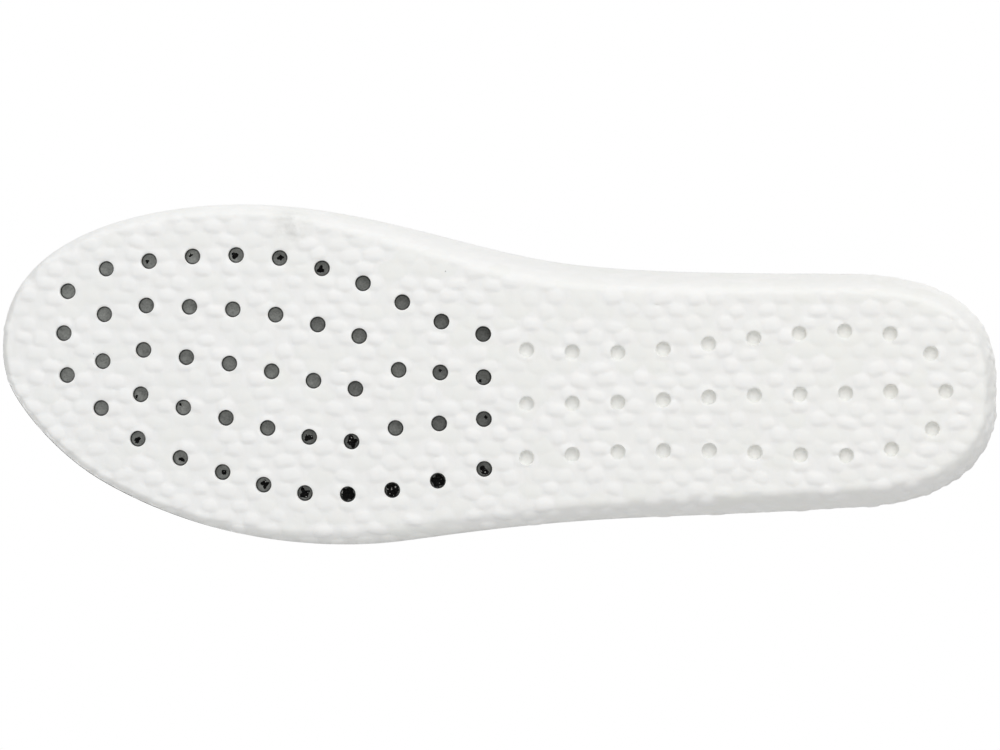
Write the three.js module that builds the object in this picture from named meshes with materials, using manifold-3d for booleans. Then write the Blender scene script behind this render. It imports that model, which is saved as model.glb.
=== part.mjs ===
// Cushioned insole for a right shoe: a moulded bead-foam base, a hot-melt film and a knitted cover.
// Millimetres. +X runs to the toe, +Y to the inner side of the foot, +Z up to the foot.
// The sole lies on z = 0, and the origin is under the middle of the insole's box.

import * as THREE from 'three';
import { mergeVertices } from 'three/addons/utils/BufferGeometryUtils.js';
import Module from 'manifold-3d';

// ---- Overall sizes
const insoleLength = 275;
const insoleWidth = 94;

// ---- Layers, measured square to the foot side
const forefootFoam = 4.6;
const heelFoam = 8.0;
const filmThickness = 0.2;
const coverThickness = 0.9;
const glueLine = 0.08;

// ---- Edge
const cutEdge = 1.8;       // height of the foam's trimmed edge
const rimWidth = 2.4;      // flat top of the rim, before the foot side dips
const coverOverhang = 0.3; // how far the cover's cut edge stands past the foam

// ---- Holes
const perforationBore = 4.4;
const pocketBore = 4.1;
const pocketDepth = 2.4;
const holeSides = 12;

// A row of holes is given by its shares of the way from the inner to the outer hole line.
const evenly = (count) => Array.from({ length: count }, (_, k) => k / (count - 1));
const toeRow = evenly(3);
const forefootRows = [
  evenly(4), evenly(5), evenly(5), evenly(5), evenly(5), evenly(5), evenly(5),
  [0, 0.36, 0.67, 1], [0, 0.32, 0.64, 1], [0, 0.32, 0.63, 1],
];
const pocketRows = Array.from({ length: 10 }, () => evenly(3));
const toeRowBow = 1.0;   // the first row bows to the toe
const heelRowBow = -3.9; // the last row bows to the heel
// The outer line's marks lie closer together under the ball: a share of the line's length.
const outerCrowding = 0.0105;

// ---- Colours
const foamWhite = 0xf2f2ee;
const filmGrey = 0x6b706e;
const coverBlack = 0x1b1c1e;

// ---- Outline pattern: the places that shape the edge, anticlockwise from above.
// heading is the way the edge runs there, and reachIn and reachOut are its curve handles.
// rimLift is how far the foam's rim stands above the foam under the foot, wallRun is how far in
// the wall's foot lies, and dishShare is how much of the half-width the dip of the foot side takes.
const landmark = (name, [x, y], heading, [reachIn, reachOut], { rimLift, wallRun, dishShare }) => ({
  name, x, y, heading, reachIn, reachOut, rimLift, wallRun, dishShare,
});
const landmarks = [
  landmark('toe tip', [137.2, 1.2], 81, [8, 32], { rimLift: 0, wallRun: 1.4, dishShare: 0.3 }),
  landmark('inner ball', [82.9, 46.2], 175, [27, 32], { rimLift: 0.4, wallRun: 3.0, dishShare: 0.3 }),
  landmark('arch', [-3.6, 33.1], 193, [29, 18], { rimLift: 11.7, wallRun: 7.0, dishShare: 0.7 }),
  landmark('inner heel', [-93.9, 27.7], 180, [53, 50], { rimLift: 8.0, wallRun: 5.4, dishShare: 0.42 }),
  landmark('heel tip', [-137.2, -8.9], 266, [8, 8], { rimLift: 8.0, wallRun: 4.6, dishShare: 0.4 }),
  landmark('outer heel', [-101.2, -36.8], 356, [31, 60], { rimLift: 7.0, wallRun: 5.8, dishShare: 0.42 }),
  landmark('outer ball', [26.0, -46.1], 352, [59, 9], { rimLift: 1.8, wallRun: 5.2, dishShare: 0.3 }),
  landmark('outer toe', [110.0, -29.8], 30, [43, 16], { rimLift: 0, wallRun: 2.0, dishShare: 0.3 }),
];

// ---- Hole lines: each row of holes runs from its mark on the inner line to its mark on the outer line.
// The marks divide a line evenly along its length. The toe row has two ends of its own.
const toeRowEnds = [[119.6, 22.7], [119.8, -0.4]];
const innerForefootLine = [
  [109.1, 29.3], [85.2, 32.3], [60.7, 31.8], [38.4, 25.0], [16.4, 14.3], [5.0, 10.9],
];
const outerForefootLine = [
  [110.4, -9.5], [99.7, -18.3], [77.1, -27.1], [53.7, -33.0], [30.0, -32.1], [4.7, -26.3],
];
const innerHeelLine = [
  [-7.0, 6.5], [-32.9, 5.8], [-57.5, 8.2], [-82.3, 11.0], [-107.4, 10.9], [-118.5, 5.5],
];
const outerHeelLine = [
  [-7.0, -23.2], [-32.9, -21.6], [-57.5, -21.2], [-94.9, -22.6], [-108.5, -20.6], [-118.9, -15.3],
];

// ---- Where the base starts and ends getting thicker towards the heel, along the pattern's X
const thickeningStart = 22;
const thickeningEnd = -62;

// ---- Spine of the net that the layers are laid on: the round ends fan out from its two ends.
const spinePattern = { toe: [89, 3.6], bend: [8, -7.5], heel: [-101, -4.6] };
const samplesPerCurve = 24;
const spineSteps = 20;
const fanSteps = 22;
const wallSteps = [0, 0.35, 0.7, 1];
const dishSteps = [0, 0.22, 0.48, 0.74, 1];

const flat = (x, y) => new THREE.Vector2(x, y);
const eased = (t) => t * t * (3 - 2 * t);
const mix = THREE.MathUtils.lerp;

// The pattern's outline, sampled, with the edge's sizes eased from landmark to landmark.
function patternOutline() {
  const samples = [];
  landmarks.forEach((from, i) => {
    const to = landmarks[(i + 1) % landmarks.length];
    const along = (mark) => {
      const angle = THREE.MathUtils.degToRad(mark.heading);
      return flat(Math.cos(angle), Math.sin(angle));
    };
    const start = flat(from.x, from.y);
    const end = flat(to.x, to.y);
    const curve = new THREE.CubicBezierCurve(
      start,
      start.clone().addScaledVector(along(from), from.reachOut),
      end.clone().addScaledVector(along(to), -to.reachIn),
      end,
    );
    for (let k = 0; k < samplesPerCurve; k += 1) {
      const t = k / samplesPerCurve;
      samples.push({
        at: curve.getPoint(t),
        rimLift: mix(from.rimLift, to.rimLift, eased(t)),
        wallRun: mix(from.wallRun, to.wallRun, eased(t)),
        dishShare: mix(from.dishShare, to.dishShare, eased(t)),
      });
    }
  });
  return samples;
}

// The pattern is stretched to the insole's length and width, and centred on the origin.
const patternEdge = patternOutline();
const patternBox = new THREE.Box2().setFromPoints(patternEdge.map((sample) => sample.at));
const patternSize = patternBox.getSize(flat(0, 0));
const patternMiddle = patternBox.getCenter(flat(0, 0));
const stretch = flat(insoleLength / patternSize.x, insoleWidth / patternSize.y);
const placed = (x, y) => flat(x, y).sub(patternMiddle).multiply(stretch);
const edge = patternEdge.map((sample) => ({ ...sample, at: placed(sample.at.x, sample.at.y) }));

// Thickness of the base under the foot, away from the rim.
function baseThickness(x) {
  const start = placed(thickeningStart, 0).x;
  const end = placed(thickeningEnd, 0).x;
  return mix(forefootFoam, heelFoam, THREE.MathUtils.smoothstep(start - x, 0, start - end));
}

// The edge as met by a ray that leaves a spine point.
function edgeFrom(spinePoint, direction) {
  for (let i = 0; i < edge.length; i += 1) {
    const a = edge[i];
    const b = edge[(i + 1) % edge.length];
    const side = b.at.clone().sub(a.at);
    const offset = a.at.clone().sub(spinePoint);
    const facing = direction.cross(side);
    const t = offset.cross(direction) / facing;
    const distance = offset.cross(side) / facing;
    if (distance > 0 && t >= 0 && t < 1) {
      const place = spinePoint.clone().addScaledVector(direction, distance);
      return {
        spinePoint,
        direction,
        distance,
        rimRise: baseThickness(place.x) + mix(a.rimLift, b.rimLift, t),
        wallRun: mix(a.wallRun, b.wallRun, t),
        dishShare: mix(a.dishShare, b.dishShare, t),
      };
    }
  }
  throw new Error('a spine point lies outside the outline');
}

// Spokes of the net, anticlockwise from above: round the toe, down the inner side,
// round the heel and back up the outer side.
function netSpokes() {
  const spine = new THREE.QuadraticBezierCurve(
    placed(...spinePattern.toe),
    placed(...spinePattern.bend),
    placed(...spinePattern.heel),
  );
  const spokes = [];
  const addSpoke = (t, turn) => {
    const direction = spine.getTangent(t).rotateAround(flat(0, 0), turn);
    spokes.push(edgeFrom(spine.getPoint(t), direction));
  };
  for (let k = 0; k <= fanSteps; k += 1) addSpoke(0, Math.PI / 2 + (Math.PI * k) / fanSteps);
  for (let k = 1; k < spineSteps; k += 1) addSpoke(k / spineSteps, -Math.PI / 2);
  for (let k = 0; k <= fanSteps; k += 1) addSpoke(1, -Math.PI / 2 + (Math.PI * k) / fanSteps);
  for (let k = spineSteps - 1; k > 0; k -= 1) addSpoke(k / spineSteps, Math.PI / 2);
  return spokes;
}
const spokes = netSpokes();

// A point of the net, a distance in from the cover's edge.
function netPoint(spoke, inset, z) {
  const at = spoke.spinePoint.clone().addScaledVector(spoke.direction, spoke.distance - inset);
  return new THREE.Vector3(at.x, at.y, z);
}
const spineAt = (z) => spokes.map(({ spinePoint: p }) => new THREE.Vector3(p.x, p.y, z(p.x)));

// Underside: the wall sweeps down as a parabola and runs out flat into the sole.
function underside() {
  const rings = wallSteps.map((step) => spokes.map((spoke) => {
    const inset = coverOverhang + spoke.wallRun * step;
    return netPoint(spoke, inset, (spoke.rimRise - cutEdge) * (1 - step) ** 2);
  }));
  return { rings, spine: spineAt(() => 0) };
}

// Foot side of the foam: a flat rim, then a dip to the base thickness.
function footSide(firstInset) {
  const rim = spokes.map((spoke) => netPoint(spoke, firstInset, spoke.rimRise));
  const dish = dishSteps.map((step) => spokes.map((spoke) => {
    const room = (spoke.distance - rimWidth) * spoke.dishShare;
    const point = netPoint(spoke, rimWidth + room * step, 0);
    const base = baseThickness(point.x);
    point.z = base + (spoke.rimRise - base) * (1 - step) ** 2;
    return point;
  }));
  return { rings: [rim, ...dish], spine: spineAt(baseThickness) };
}

// Triangles of one surface of the net, facing up.
function surfaceTriangles({ rings, spine }) {
  const triangles = [];
  const rows = [...rings, spine];
  for (let r = 0; r + 1 < rows.length; r += 1) {
    for (let i = 0; i < spokes.length; i += 1) {
      const j = (i + 1) % spokes.length;
      const [a, b, c, d] = [rows[r][i], rows[r][j], rows[r + 1][j], rows[r + 1][i]];
      triangles.push([a, b, c]);
      if (!c.equals(d)) triangles.push([a, c, d]);
    }
  }
  return triangles;
}

function closedGeometry(triangles) {
  const geometry = new THREE.BufferGeometry().setFromPoints(triangles.flat());
  return mergeVertices(geometry, 1e-4);
}

// The closed body between two surfaces of the net, with a straight edge between their first rings.
function layer(lower, upper) {
  const triangles = surfaceTriangles(upper);
  surfaceTriangles(lower).forEach(([a, b, c]) => triangles.push([a, c, b]));
  const [low, high] = [lower.rings[0], upper.rings[0]];
  for (let i = 0; i < spokes.length; i += 1) {
    const j = (i + 1) % spokes.length;
    triangles.push([low[i], low[j], high[j]], [low[i], high[j], high[i]]);
  }
  return closedGeometry(triangles);
}

// The same surface moved square to itself, as the film and the cover lie on the foam.
function raised(surface, height) {
  const normals = new Map();
  const key = (point) => point.toArray().map((value) => value.toFixed(4)).join();
  surfaceTriangles(surface).forEach(([a, b, c]) => {
    const areaNormal = b.clone().sub(a).cross(c.clone().sub(a));
    [a, b, c].forEach((point) => {
      const sum = normals.get(key(point)) ?? new THREE.Vector3();
      normals.set(key(point), sum.add(areaNormal));
    });
  });
  const lift = (point) => {
    const normal = normals.get(key(point)).clone().normalize();
    return point.clone().addScaledVector(normal, height);
  };
  return { rings: surface.rings.map((ring) => ring.map(lift)), spine: surface.spine.map(lift) };
}

// Hole centres. Each row has one mark on each hole line. The marks divide the line evenly, unless
// they crowd towards its middle.
function marks(points, count, crowding = 0) {
  const line = points.map(([x, y]) => {
    const at = placed(x, y);
    return new THREE.Vector3(at.x, at.y, 0);
  });
  const curve = new THREE.CatmullRomCurve3(line, false, 'centripetal');
  return evenly(count).map((t) => curve.getPointAt(t + crowding * Math.sin(2 * Math.PI * t)));
}

function holeRow(innerMark, outerMark, shares, bow) {
  return shares.map((share) => {
    const centre = innerMark.clone().lerp(outerMark, share);
    centre.x += bow * Math.sin(Math.PI * share);
    return centre;
  });
}

function perforationCentres() {
  const [innerEnd, outerEnd] = marks(toeRowEnds, 2);
  const inner = marks(innerForefootLine, forefootRows.length);
  const outer = marks(outerForefootLine, forefootRows.length, outerCrowding);
  const rows = forefootRows.map((shares, k) => holeRow(inner[k], outer[k], shares, 0));
  return [holeRow(innerEnd, outerEnd, toeRow, toeRowBow), ...rows].flat();
}

function pocketCentres() {
  const inner = marks(innerHeelLine, pocketRows.length);
  const outer = marks(outerHeelLine, pocketRows.length);
  const bow = (k) => (k === pocketRows.length - 1 ? heelRowBow : 0);
  return pocketRows.flatMap((shares, k) => holeRow(inner[k], outer[k], shares, bow(k)));
}

// Boolean cuts.
const wasm = await Module();
wasm.setup();

function toSolid(geometry) {
  const bare = geometry.clone();
  bare.deleteAttribute('normal');
  bare.deleteAttribute('uv');
  const merged = mergeVertices(bare, 1e-4);
  return new wasm.Manifold(new wasm.Mesh({
    numProp: 3,
    vertProperties: new Float32Array(merged.attributes.position.array),
    triVerts: new Uint32Array(merged.index.array),
  }));
}

function toGeometry(solid) {
  const mesh = solid.getMesh();
  const geometry = new THREE.BufferGeometry();
  geometry.setAttribute('position', new THREE.BufferAttribute(mesh.vertProperties, 3));
  geometry.setIndex(new THREE.BufferAttribute(mesh.triVerts, 1));
  return geometry;
}

// A straight round cutter from below the sole up to a height.
function holeCutter(centre, bore, top) {
  const start = -1;
  const cutter = new THREE.CylinderGeometry(bore / 2, bore / 2, top - start, holeSides);
  cutter.rotateX(Math.PI / 2);
  cutter.translate(centre.x, centre.y, (top + start) / 2);
  return toSolid(cutter);
}

function foamBase() {
  const aboveEverything = Math.max(...spokes.map((spoke) => spoke.rimRise)) + 1;
  const cutters = [
    ...perforationCentres().map((centre) => holeCutter(centre, perforationBore, aboveEverything)),
    ...pocketCentres().map((centre) => holeCutter(centre, pocketBore, pocketDepth)),
  ];
  const blank = toSolid(layer(underside(), footSide(coverOverhang)));
  return toGeometry(blank.subtract(wasm.Manifold.union(cutters)));
}

function adhesiveFilm() {
  const lower = raised(footSide(coverOverhang), glueLine);
  return layer(lower, raised(footSide(coverOverhang), glueLine + filmThickness));
}

function topCloth() {
  const seat = glueLine + filmThickness + glueLine;
  return layer(raised(footSide(0), seat), raised(footSide(0), seat + coverThickness));
}

function piece(name, geometry, color, roughness) {
  geometry.computeVertexNormals();
  const material = new THREE.MeshStandardMaterial({ color, roughness, metalness: 0 });
  const mesh = new THREE.Mesh(geometry, material);
  mesh.name = name;
  return mesh;
}

const insole = new THREE.Group();
insole.name = 'cushioned_insole';
insole.add(piece('foam_base', foamBase(), foamWhite, 0.8));
insole.add(piece('adhesive_film', adhesiveFilm(), filmGrey, 0.45));
insole.add(piece('top_cloth', topCloth(), coverBlack, 0.95));

export default insole;
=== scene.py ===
# %% [markdown]
# # A cushioned insole: bead foam, hot-melt film and knitted cover
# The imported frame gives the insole's exact size, its edge, its holes and the lie of its layers.
# This lesson reads those places from the frame and then builds the three layers that a hand
# would feel: foam with its fused beads, a thin torn film, and a soft cover.

# %% Load the frame
import math

import bpy
import numpy as np
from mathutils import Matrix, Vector
from mathutils.geometry import delaunay_2d_cdt


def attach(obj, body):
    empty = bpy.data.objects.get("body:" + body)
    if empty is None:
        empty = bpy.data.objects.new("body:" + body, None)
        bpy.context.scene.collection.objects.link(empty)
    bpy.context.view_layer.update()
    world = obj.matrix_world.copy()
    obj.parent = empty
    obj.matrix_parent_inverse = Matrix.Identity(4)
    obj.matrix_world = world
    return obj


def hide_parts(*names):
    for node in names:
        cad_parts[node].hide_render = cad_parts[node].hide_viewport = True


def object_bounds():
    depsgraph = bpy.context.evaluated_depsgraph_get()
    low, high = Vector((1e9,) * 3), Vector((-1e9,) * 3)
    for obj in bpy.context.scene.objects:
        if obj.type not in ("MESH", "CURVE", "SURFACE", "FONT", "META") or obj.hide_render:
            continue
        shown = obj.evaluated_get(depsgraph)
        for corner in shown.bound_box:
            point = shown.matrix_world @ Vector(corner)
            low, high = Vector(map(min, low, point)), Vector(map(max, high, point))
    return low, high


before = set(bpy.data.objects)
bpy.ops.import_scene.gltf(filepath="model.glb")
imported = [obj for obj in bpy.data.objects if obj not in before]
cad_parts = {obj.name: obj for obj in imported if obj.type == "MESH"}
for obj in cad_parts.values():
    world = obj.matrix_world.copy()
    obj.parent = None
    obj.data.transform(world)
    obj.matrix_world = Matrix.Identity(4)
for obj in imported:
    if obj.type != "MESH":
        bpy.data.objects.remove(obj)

mm = 0.001
cad_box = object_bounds()
print("insole in mm:", [round((high - low) / mm, 1) for low, high in zip(*cad_box)])

# %% [markdown]
# ## Sizes that the layers share
# The cover, the film and the foam lie on each other with a thin line of glue between them.
# They are cut in one blow, but the foam springs back a little at the toe, so the dark cover shows
# there as a fine line outside the white foam.

# %% Layer sizes
cover_thickness = 0.9 * mm
film_thickness = 0.2 * mm
glue_line = 0.08 * mm
least_setback = 0.04 * mm
toe_setback = 0.17 * mm
foam_cut_edge = 1.8 * mm
film_under_cover = cover_thickness + glue_line
foam_under_cover = film_under_cover + film_thickness + glue_line
print("depth of the film and the foam below the cover's top, in mm:",
      round(film_under_cover / mm, 2), round(foam_under_cover / mm, 2))

# %% [markdown]
# ## Reading the frame
# A CAD node is a heap of loose triangles. Its corners are read once, and faces are told apart
# by how steeply they stand: a side face is steep, a sole or a foot side lies flatter.

# %% Corners, normals and distinct points
SIDE_FACE = 0.4      # a face whose normal rises less than this is a side face
UPRIGHT_FACE = 0.02  # a straight hole wall
ROUNDED_TO = 5       # decimals of a metre, so corners that touch count as one


def node_triangles(node):
    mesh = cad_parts[node].data
    mesh.calc_loop_triangles()
    points = np.empty(3 * len(mesh.vertices))
    mesh.vertices.foreach_get("co", points)
    picked = np.empty(3 * len(mesh.loop_triangles), int)
    mesh.loop_triangles.foreach_get("vertices", picked)
    return points.reshape(-1, 3)[picked].reshape(-1, 3, 3)


def rise_of(triangles):
    across = np.cross(triangles[:, 1] - triangles[:, 0], triangles[:, 2] - triangles[:, 0])
    return across[:, 2] / np.linalg.norm(across, axis=1)


def distinct(points):
    return np.unique(np.round(points.reshape(-1, 3), ROUNDED_TO), axis=0)


def round_the_middle(points):
    return points[np.argsort(np.arctan2(points[:, 1], points[:, 0]))]


cover_faces = node_triangles("top_cloth")
cover_rise = rise_of(cover_faces)
cover_top = distinct(cover_faces[cover_rise > SIDE_FACE])
cover_side = distinct(cover_faces[abs(cover_rise) < SIDE_FACE])
on_both = {tuple(point) for point in cover_top} & {tuple(point) for point in cover_side}
cover_edge = round_the_middle(np.array(sorted(on_both)))
print("corners on the cover's top:", len(cover_top), "and round its edge:", len(cover_edge))

# %% [markdown]
# ## A smooth edge
# The frame's edge is a ring of short straight cuts. The four-point rule puts a new point between
# each pair, bent by their neighbours, so a few rounds of it give the smooth line that a die cuts.

# %% Round the ring off
EDGE_ROUNDS = 4
EDGE_STEP = 0.62 * mm
BATCH = 3000  # places handled at once, to spare memory


def refined(ring, rounds=EDGE_ROUNDS):
    for _ in range(rounds):
        outer_pair = np.roll(ring, 1, 0) + np.roll(ring, -2, 0)
        between = (9 * (ring + np.roll(ring, -1, 0)) - outer_pair) / 16
        ring = np.stack([ring, between], 1).reshape(-1, ring.shape[1])
    return ring


def evenly_stepped(ring, step):
    closed = np.vstack([ring, ring[:1]])
    along = np.r_[0, np.cumsum(np.linalg.norm(np.diff(closed[:, :2], axis=0), axis=1))]
    marks = np.linspace(0, along[-1], round(along[-1] / step), endpoint=False)
    return np.column_stack([np.interp(marks, along, column) for column in closed.T])


def nearest(points, ring):
    """Distance from each point to the nearest place of a ring, in plan, and that place."""
    far = np.empty(len(points))
    place = np.empty(len(points), int)
    for start in range(0, len(points), BATCH):
        part = points[start:start + BATCH, None, :2] - ring[None, :, :2]
        square = (part ** 2).sum(2)
        place[start:start + BATCH] = square.argmin(1)
        far[start:start + BATCH] = np.sqrt(square.min(1))
    return far, place


edge = evenly_stepped(refined(cover_edge), EDGE_STEP)
edge_run = np.roll(edge, -1, 0)[:, :2] - np.roll(edge, 1, 0)[:, :2]
edge_out = np.column_stack([edge_run[:, 1], -edge_run[:, 0]])
edge_out /= np.linalg.norm(edge_out, axis=1)[:, None]
print("edge points:", len(edge), "rim from", round(edge[:, 2].min() / mm, 1), "to",
      round(edge[:, 2].max() / mm, 1), "mm high")

# %% How far the foam's edge lies behind the cover's
TOE_LINE_MIDDLE = math.radians(-11)
TOE_LINE_SPREAD = math.radians(17)
edge_turn = np.arctan2(edge[:, 1], edge[:, 0])
in_toe_line = np.exp(-((edge_turn - TOE_LINE_MIDDLE) / TOE_LINE_SPREAD) ** 4)
HEEL_WAVE = 0.09 * mm
WAVE_OUTWARD = 1.3           # the foam bulges past the cover's edge more than it falls short
HEEL_START, HEEL_FULL = -70 * mm, -110 * mm
WAVE_PACE, WANDER_PACE, RIPPLE_PACE = 900, 270, 1830   # radians in each metre of edge
WANDER, RIPPLE = 2, 0.6
edge_along = np.arange(len(edge)) * EDGE_STEP
at_heel = np.clip((HEEL_START - edge[:, 0]) / (HEEL_START - HEEL_FULL), 0, 1)
heel_wave = np.sin(edge_along * WAVE_PACE + WANDER * np.sin(edge_along * WANDER_PACE))
heel_wave = heel_wave + RIPPLE * np.sin(edge_along * RIPPLE_PACE)
foam_setback = least_setback + toe_setback * in_toe_line
foam_setback = foam_setback - HEEL_WAVE * at_heel * (heel_wave + WAVE_OUTWARD)
print("foam's edge lies", round(foam_setback.min() / mm, 2), "to", round(foam_setback.max() / mm, 2),
      "mm behind the cover's")

# %% [markdown]
# ## The foot of the wall, and the holes
# The foam's outer wall sweeps down and meets the flat sole along a second ring. Every hole is a
# set of upright faces, whose corners lie evenly round its centre.

# %% Find them
HOLE_SPREAD = 5 * mm       # corners nearer than this to each other belong to one hole
WALL_REACH = 9 * mm        # the wall's foot is always nearer to the edge than this
ON_SOLE = 0.01 * mm        # corners lower than this lie on the sole
DEPTH_PLAY = 0.1 * mm      # pockets differ in depth by less than this

foam_faces = node_triangles("foam_base")
foam_rise = rise_of(foam_faces)
sole_corners = distinct(foam_faces[foam_faces[:, :, 2].max(1) < ON_SOLE])
foot_ring = sole_corners[nearest(sole_corners, edge)[0] < WALL_REACH]
wall_foot = refined(round_the_middle(foot_ring))
wall_run = nearest(edge, wall_foot)[0] - foam_setback
print("wall runs in", round(wall_run.min() / mm, 1), "to", round(wall_run.max() / mm, 1), "mm")

# %% Sort the upright faces into holes
upright = foam_faces[abs(foam_rise) < UPRIGHT_FACE]
inner = upright[nearest(upright.mean(1), edge)[0] > WALL_REACH]
loose = distinct(inner)
holes = []
while len(loose):
    same = np.linalg.norm(loose[:, :2] - loose[0, :2], axis=1) < HOLE_SPREAD
    own, loose = loose[same], loose[~same]
    mouth = own[own[:, 2] < ON_SOLE, :2]
    centre = mouth.mean(0)
    radius = np.linalg.norm(mouth - centre, axis=1).mean()
    holes.append((centre[0], centre[1], radius, own[:, 2].max()))
holes = np.array(holes)
pocket_depth = holes[:, 3].min()
through = holes[:, 3] > pocket_depth + DEPTH_PLAY
perforations = holes[through]
pockets = holes[~through]
print("perforations:", len(perforations), "pockets:", len(pockets))

# %% [markdown]
# ## The lie of the foot side
# A thin metal plate that is pushed through a set of points bends as smoothly as it can. The same
# rule, worked out once for the cover's corners, gives a smooth height and slope anywhere in plan.

# %% A bent plate through the cover's corners
TINY_SQUARE = 1e-18  # keeps the logarithm finite where a place is a corner itself


def bent_plate(known):
    at, count = known[:, :2], len(known)

    def pull(places):
        offset = places[:, None, :] - at[None]
        square = (offset ** 2).sum(2) + TINY_SQUARE
        log = np.log(square)
        return square * log / 2, offset * (log + 1)[:, :, None]

    system = np.zeros((count + 3, count + 3))
    system[:count, :count] = pull(at)[0]
    system[:count, count] = system[count, :count] = 1
    system[:count, count + 1:] = at
    system[count + 1:, :count] = at.T
    weights = np.linalg.solve(system, np.r_[known[:, 2], 0, 0, 0])

    def lie(places):
        """Height and slope at places in plan."""
        height = np.empty(len(places))
        slope = np.empty((len(places), 2))
        for start in range(0, len(places), BATCH):
            part = places[start:start + BATCH, :2]
            value, change = pull(part)
            height[start:start + BATCH] = value @ weights[:count] + weights[count]
            height[start:start + BATCH] += part @ weights[count + 1:]
            slope[start:start + BATCH] = np.einsum("pkd,k->pd", change, weights[:count])
            slope[start:start + BATCH] += weights[count + 1:]
        return height, slope

    return lie


foot_side = bent_plate(cover_top)


def under_cover(places, depth):
    """Height of a layer that lies a depth below the cover's top, measured square to it."""
    height, slope = foot_side(places)
    return height - depth * np.sqrt(1 + (slope ** 2).sum(1))


heel_and_ball = np.array([[-90, -4], [70, 0]]) * mm
print("cover's top at the heel and the ball, in mm:", np.round(foot_side(heel_and_ball)[0] / mm, 2))

# %% [markdown]
# ## Filling an outline with fine triangles
# Every layer is a net of triangles in plan, lifted to its height. The net keeps the outline and
# the rims of the holes as they are, and fills the rest with an even honeycomb of points.

# %% Points of a honeycomb, and which lie inside a ring
def honeycomb(step):
    low, high = cad_box
    rows = np.arange(low.y, high.y, step * math.sqrt(3) / 2)
    columns = np.arange(low.x, high.x, step)
    shift = np.where(np.arange(len(rows)) % 2, step / 2, 0.0)
    x = columns[None, :] + shift[:, None]
    y = np.broadcast_to(rows[:, None], x.shape)
    return np.column_stack([x.ravel(), y.ravel()])


def inside(points, ring):
    """True for points inside a closed ring, by counting the sides that a ray crosses."""
    odd = np.zeros(len(points), bool)
    for (ax, ay), (bx, by) in zip(ring[:, :2], np.roll(ring, -1, 0)[:, :2]):
        crosses = (ay > points[:, 1]) != (by > points[:, 1])
        if ay != by:
            odd ^= crosses & (points[:, 0] < ax + (points[:, 1] - ay) * (bx - ax) / (by - ay))
    return odd


print("honeycomb at 10 mm:", len(honeycomb(10 * mm)), "points")

# %% A plan net with holes
RING_CLEAR = 0.55  # the fill keeps this share of its step away from the outline
HOLE_CLEAR = 0.6   # and this share of a hole's own sides away from the hole
SAME_POINT = 1e-9


def plan_net(ring, hole_rings, step, extra=None):
    """Points in plan and triangles: the ring's points first, then each hole's, then the fill."""
    rings = [ring[:, :2], *[hole[:, :2] for hole in hole_rings]]
    fill = honeycomb(step) if extra is None else np.vstack([honeycomb(step), extra])
    fill = fill[inside(fill, ring)]
    fill = fill[nearest(fill, ring)[0] > step * RING_CLEAR]
    for hole in hole_rings:
        middle = hole[:, :2].mean(0)
        reach = np.linalg.norm(hole[:, :2] - middle, axis=1).max() + step
        close = np.flatnonzero(np.linalg.norm(fill - middle, axis=1) < reach)
        side = np.linalg.norm(hole[1, :2] - hole[0, :2])
        bad = inside(fill[close], hole) | (nearest(fill[close], hole)[0] < HOLE_CLEAR * side)
        fill = np.delete(fill, close[bad], axis=0)
    points = np.vstack([*rings, fill])
    sides, start = [], 0
    for each in rings:
        count = len(each)
        sides += [(start + k, start + (k + 1) % count) for k in range(count)]
        start += count
    made = delaunay_2d_cdt([Vector(point) for point in points], sides, [], 1, SAME_POINT, True)
    order = np.array([came_from[0] for came_from in made[3]])
    triangles = order[np.array(made[2])]
    middles = points[triangles].mean(1)
    keep = np.ones(len(triangles), bool)
    on_ring = np.flatnonzero((triangles < len(ring)).all(1))
    keep[on_ring] = inside(middles[on_ring], ring)
    for hole in hole_rings:
        middle = hole[:, :2].mean(0)
        reach = np.linalg.norm(hole[:, :2] - middle, axis=1).max()
        close = np.flatnonzero(np.linalg.norm(middles - middle, axis=1) < reach)
        keep[close[inside(middles[close], hole)]] = False
    return points, triangles[keep]


# %% Bands, circles and finished pieces
SMOOTH_ANGLE = math.radians(50)


def band(first, second):
    """Triangles between two closed rings of indices, facing away from their middle when
    the rings run anticlockwise and the second lies above the first."""
    a, b = first, np.roll(first, -1)
    d, c = second, np.roll(second, -1)
    return np.vstack([np.column_stack([a, b, c]), np.column_stack([a, c, d])])


def circle(x, y, radius, count):
    turn = np.linspace(0, 2 * math.pi, count, endpoint=False)
    return np.column_stack([x + radius * np.cos(turn), y + radius * np.sin(turn)])


def make_piece(name, points, triangles, body="root"):
    mesh = bpy.data.meshes.new(name)
    mesh.from_pydata(points.tolist(), [], triangles.tolist())
    mesh.update()
    piece = bpy.data.objects.new(name, mesh)
    bpy.context.scene.collection.objects.link(piece)
    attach(piece, body)
    bpy.ops.object.select_all(action="DESELECT")
    piece.select_set(True)
    bpy.context.view_layer.objects.active = piece
    bpy.ops.object.shade_smooth_by_angle(angle=SMOOTH_ANGLE)
    print(name, "has", len(mesh.vertices), "points and", len(mesh.polygons), "triangles")
    return piece


def point_values(piece, name, values):
    layer = piece.data.attributes.new(name, "FLOAT", "POINT")
    layer.data.foreach_set("value", np.asarray(values, np.float32))


# %% [markdown]
# ## Beads
# The foam is made of puffed beads that steam has welded together in a mould. On the skin each
# one shows as a soft pebble, some proud, some low. A noise texture has no such pebbles, so every
# bead here is a low dome of its own size, turn and height, set on a shaken honeycomb. The wall
# is unrolled into the plane of the sole first, so the beads keep their size as they climb it.

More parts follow.
